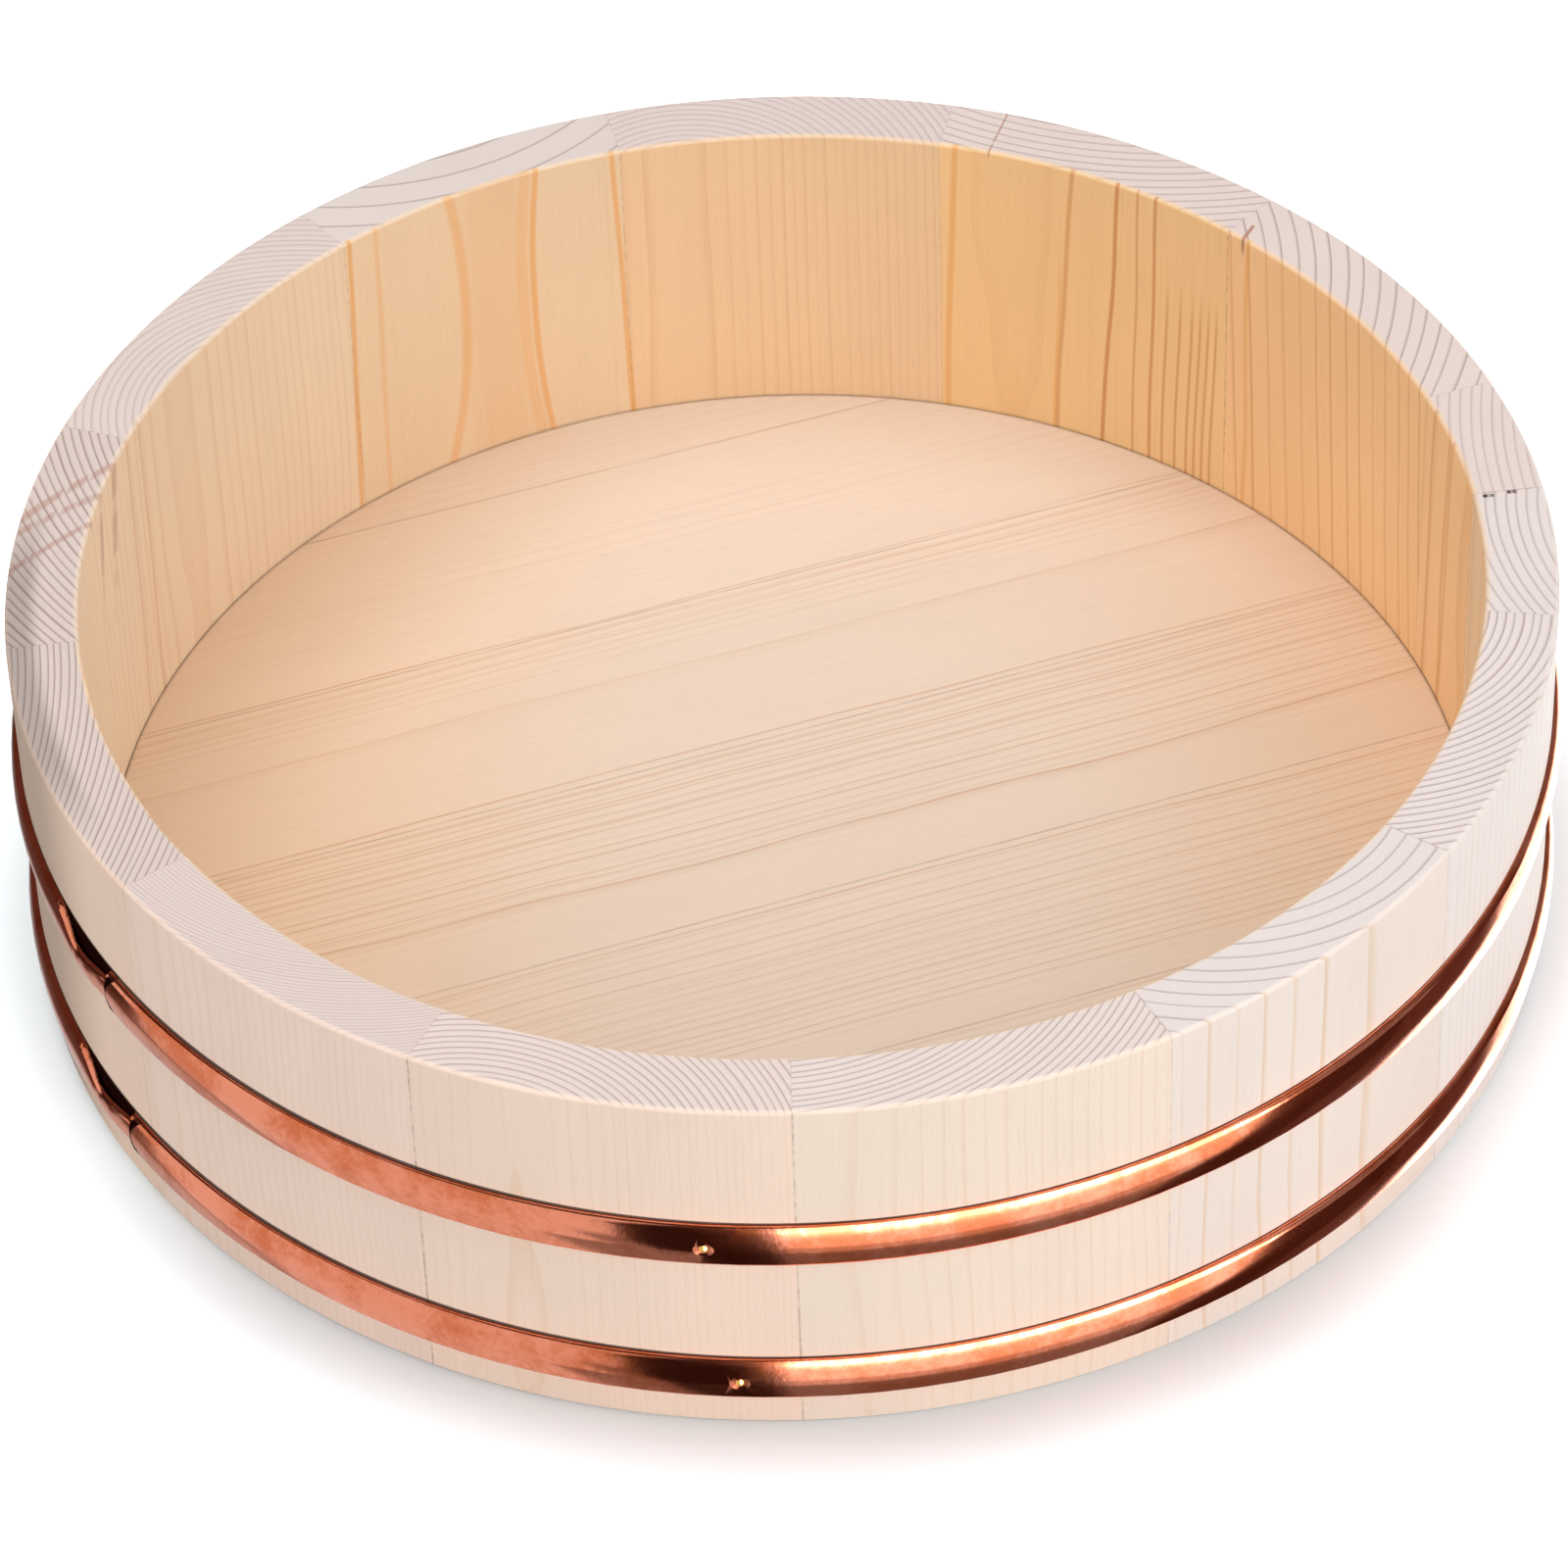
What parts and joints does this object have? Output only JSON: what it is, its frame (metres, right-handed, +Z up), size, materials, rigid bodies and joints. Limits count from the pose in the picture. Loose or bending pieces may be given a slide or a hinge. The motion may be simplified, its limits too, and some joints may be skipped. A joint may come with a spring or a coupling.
{
  "type": "hangiri sushi rice tub",
  "caption": "Low round coopered wooden tub for cooling and seasoning sushi rice, with thick upright staves, a jointed board floor and copper hoops.",
  "frame": {"origin": "middle of the foot, on the surface that the tub stands on", "axes": "+Z up along the tub's axis; the hoop nails face -Y and the hoop mouths face the front left"},
  "size_m": [0.3342, 0.3342, 0.089],
  "materials": {
    "stave_wood": "planed softwood, unfinished",
    "floor_wood": "planed softwood, unfinished",
    "hoop_copper": "polished copper with a slight tarnish",
    "nail_brass": "bright brass",
    "pin_bamboo": "split bamboo"
  },
  "bodies": {
    "root": {"stave_01": "stave_wood", "stave_02": "stave_wood", "stave_03": "stave_wood", "stave_04": "stave_wood", "stave_05": "stave_wood", "stave_06": "stave_wood", "stave_07": "stave_wood", "stave_08": "stave_wood", "stave_09": "stave_wood", "stave_10": "stave_wood", "stave_11": "stave_wood", "stave_12": "stave_wood", "stave_13": "stave_wood", "stave_14": "stave_wood", "floor_board_1": "floor_wood", "floor_board_2": "floor_wood", "floor_board_3": "floor_wood", "floor_board_4": "floor_wood", "floor_board_5": "floor_wood", "floor_board_6": "floor_wood", "floor_board_7": "floor_wood", "upper_hoop": "hoop_copper", "lower_hoop": "hoop_copper", "hoop_nails": "nail_brass", "stave_pins": "pin_bamboo", "floor_pins": "pin_bamboo"}
  },
  "joints": []
}
